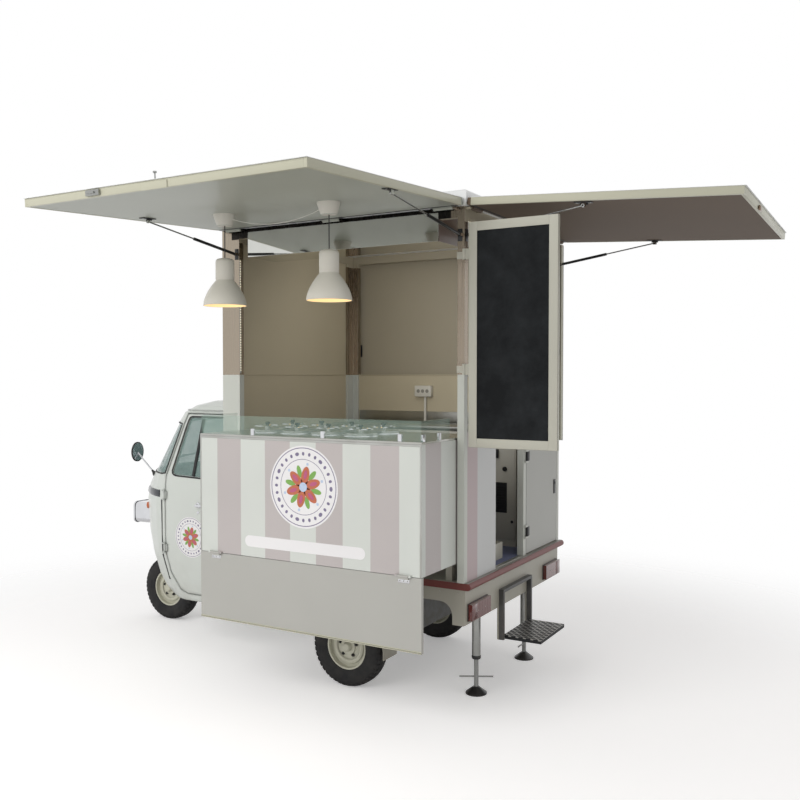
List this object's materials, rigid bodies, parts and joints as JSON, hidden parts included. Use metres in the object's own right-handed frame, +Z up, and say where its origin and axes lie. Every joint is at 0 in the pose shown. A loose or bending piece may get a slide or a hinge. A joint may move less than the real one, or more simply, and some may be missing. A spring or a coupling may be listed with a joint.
{
  "type": "three-wheeled mini truck",
  "caption": "Three-wheeled mini truck with a pointed round cab and a tall vending body with lifting side and rear hatches, a slide-out counter and a folding step.",
  "frame": {"origin": "middle of the whole part's footprint on the ground, hatches as in the picture", "axes": "+Z up, +Y to the rear, +X to the vehicle's left, where the counter and the left hatch are"},
  "size_m": [3.1544, 4.8124, 3.01],
  "materials": {
    "body_white": "gloss off-white coach paint",
    "skirt_grey": "warm grey paint",
    "stripe_pink": "dusty pink and white stripes",
    "inner_beige": "satin beige inner panels",
    "stainless": "brushed stainless steel",
    "mirror_steel": "mirror polished",
    "black_metal": "black chassis paint",
    "tyre": "worn rubber",
    "rim_cream": "cream wheel paint",
    "glass": "clear, slightly green",
    "bumper_red": "dark red-brown paint",
    "lamp_red": "moulded red lens",
    "board_black": "chalk board paint in a pale frame",
    "seat_black": "black vinyl leather",
    "engine": "plain block",
    "cord": "black round lead",
    "lamp_cream": "gloss cream enamel, white inside",
    "chrome": "bright chrome"
  },
  "bodies": {
    "body": {"chassis_frame": "black_metal", "rear_swing_arms": "black_metal", "engine_block": "engine", "deck": "skirt_grey", "rear_bumper_bar": "bumper_red", "tail_lamp_left": "lamp_red", "tail_lamp_right": "lamp_red", "body_frame": "stainless", "roof_slab": "body_white", "front_wall_lower": "inner_beige", "front_wall_upper": "inner_beige", "right_wall_lower": "body_white", "rear_panel_left": "stripe_pink", "ceiling_box": "mirror_steel", "worktop_cabinet": "inner_beige", "cab_shell": "body_white", "windscreen": "glass", "headlamp": "chrome", "mirror_left": "chrome", "mirror_right": "chrome", "bench_seat": "seat_black"},
    "fork": {"front_fork": "black_metal"},
    "wheel_front": {"tyre_front": "tyre", "rim_front": "rim_cream"},
    "wheel_rear_left": {"tyre_rear_left": "tyre", "rim_rear_left": "rim_cream"},
    "wheel_rear_right": {"tyre_rear_right": "tyre", "rim_rear_right": "rim_cream"},
    "cab_door_left": {"cab_door_left": "body_white", "door_glass_left": "glass"},
    "cab_door_right": {"cab_door_right": "body_white", "door_glass_right": "glass"},
    "left_hatch": {"left_hatch": "body_white", "lamp_cord_1": "cord", "lamp_cord_2": "cord", "lamp_shade_1": "lamp_cream", "lamp_shade_2": "lamp_cream"},
    "rear_hatch": {"rear_hatch": "body_white"},
    "right_hatch": {"right_hatch": "body_white"},
    "left_strut_cylinders": {"strut_cylinder_left_front": "black_metal", "strut_cylinder_left_rear": "black_metal"},
    "left_strut_rods": {"strut_rod_left_front": "chrome", "strut_rod_left_rear": "chrome"},
    "rear_strut_cylinders": {"strut_cylinder_rear_left": "black_metal", "strut_cylinder_rear_right": "black_metal"},
    "rear_strut_rods": {"strut_rod_rear_left": "chrome", "strut_rod_rear_right": "chrome"},
    "right_strut_cylinders": {"strut_cylinder_right_front": "black_metal", "strut_cylinder_right_rear": "black_metal"},
    "right_strut_rods": {"strut_rod_right_front": "chrome", "strut_rod_right_rear": "chrome"},
    "counter": {"counter_cabinet": "body_white", "counter_top": "stainless", "counter_glass": "glass"},
    "counter_flap": {"counter_flap": "skirt_grey"},
    "rear_door": {"rear_door": "body_white"},
    "chalk_board": {"chalk_board": "board_black"},
    "folding_step": {"folding_step": "black_metal"},
    "jack_left": {"jack_leg_left": "black_metal"},
    "jack_right": {"jack_leg_right": "black_metal"}
  },
  "joints": [
    {"name": "steering", "type": "hinge", "parent": "body", "child": "fork", "pos_m": [-0.71518, -2.0652, 0.252], "axis": [0, 0.342, 0.9397], "range_deg": [-35, 35]},
    {"name": "front_wheel_spin", "type": "hinge", "parent": "fork", "child": "wheel_front", "pos_m": [-0.71518, -2.0652, 0.252], "axis": [1, 0, 0], "continuous": true},
    {"name": "rear_left_wheel_spin", "type": "hinge", "parent": "body", "child": "wheel_rear_left", "pos_m": [-0.11518, 0.0388, 0.252], "axis": [1, 0, 0], "continuous": true},
    {"name": "rear_right_wheel_spin", "type": "hinge", "parent": "body", "child": "wheel_rear_right", "pos_m": [-1.31518, 0.0388, 0.252], "axis": [1, 0, 0], "continuous": true},
    {"name": "cab_door_left_swing", "type": "hinge", "parent": "body", "child": "cab_door_left", "pos_m": [-0.07918, -1.5237, 0.66], "axis": [0, 0, -1], "range_deg": [0, 65]},
    {"name": "cab_door_right_swing", "type": "hinge", "parent": "body", "child": "cab_door_right", "pos_m": [-1.35118, -1.5237, 0.66], "axis": [0, 0, 1], "range_deg": [0, 65]},
    {"name": "left_hatch_lift", "type": "hinge", "parent": "body", "child": "left_hatch", "pos_m": [0.09682, 0.0388, 2.905], "axis": [0, -1, 0], "range_deg": [-86.6, 0]},
    {"name": "rear_hatch_lift", "type": "hinge", "parent": "body", "child": "rear_hatch", "pos_m": [-0.71518, 0.9508, 2.905], "axis": [1, 0, 0], "range_deg": [-86.6, 0]},
    {"name": "right_hatch_lift", "type": "hinge", "parent": "body", "child": "right_hatch", "pos_m": [-1.52718, 0.0388, 2.905], "axis": [0, 1, 0], "range_deg": [0, 86.6]},
    {"name": "left_cylinders_swing", "type": "hinge", "parent": "body", "child": "left_strut_cylinders", "pos_m": [0.08782, 0.0388, 2.755], "axis": [0, -1, 0], "range_deg": [-97.3, 0]},
    {"name": "left_rods_slide", "type": "slide", "parent": "left_strut_cylinders", "child": "left_strut_rods", "axis": [0.9921, 0, 0.1253], "range_m": [-0.1635, 0]},
    {"name": "rear_cylinders_swing", "type": "hinge", "parent": "body", "child": "rear_strut_cylinders", "pos_m": [-0.71518, 0.9418, 2.755], "axis": [1, 0, 0], "range_deg": [-99, 0]},
    {"name": "rear_rods_slide", "type": "slide", "parent": "rear_strut_cylinders", "child": "rear_strut_rods", "axis": [0, 0.9881, 0.154], "range_m": [-0.1656, 0]},
    {"name": "right_cylinders_swing", "type": "hinge", "parent": "body", "child": "right_strut_cylinders", "pos_m": [-1.51818, 0.0388, 2.755], "axis": [0, 1, 0], "range_deg": [0, 97.6]},
    {"name": "right_rods_slide", "type": "slide", "parent": "right_strut_cylinders", "child": "right_strut_rods", "axis": [0, 0, -1], "range_m": [0, 0.1638]},
    {"name": "counter_slide", "type": "slide", "parent": "body", "child": "counter", "axis": [1, 0, 0], "range_m": [-0.3955, 0]},
    {"name": "counter_flap_lift", "type": "hinge", "parent": "counter", "child": "counter_flap", "pos_m": [0.49282, 0.1033, 0.893], "axis": [0, -1, 0], "range_deg": [0, 90]},
    {"name": "rear_door_swing", "type": "hinge", "parent": "body", "child": "rear_door", "pos_m": [-0.87018, 0.9338, 0.7923], "axis": [0, 0, -1], "range_deg": [0, 110]},
    {"name": "chalk_board_swing", "type": "hinge", "parent": "body", "child": "chalk_board", "pos_m": [0.10982, 0.9408, 1.567], "axis": [0, 0, -1], "range_deg": [0, 90]},
    {"name": "step_fold", "type": "hinge", "parent": "body", "child": "folding_step", "pos_m": [-0.63518, 0.9438, 0.351], "axis": [-1, 0, 0], "range_deg": [-90, 0]},
    {"name": "jack_left_raise", "type": "slide", "parent": "body", "child": "jack_left", "axis": [0, 0, 1], "range_m": [0, 0.1]},
    {"name": "jack_right_raise", "type": "slide", "parent": "body", "child": "jack_right", "axis": [0, 0, 1], "range_m": [0, 0.1]}
  ],
  "couplings": [
    {"joint": "left_cylinders_swing", "follows": "left_hatch_lift", "ratio": 1.1224},
    {"joint": "left_rods_slide", "follows": "left_hatch_lift", "m_per_rad": 0.10797},
    {"joint": "counter_slide", "follows": "left_hatch_lift", "m_per_rad": 0.26134},
    {"joint": "rear_cylinders_swing", "follows": "rear_hatch_lift", "ratio": 1.1416},
    {"joint": "rear_rods_slide", "follows": "rear_hatch_lift", "m_per_rad": 0.10934},
    {"joint": "right_cylinders_swing", "follows": "right_hatch_lift", "ratio": 1.1248},
    {"joint": "right_rods_slide", "follows": "right_hatch_lift", "m_per_rad": 0.10814}
  ]
}
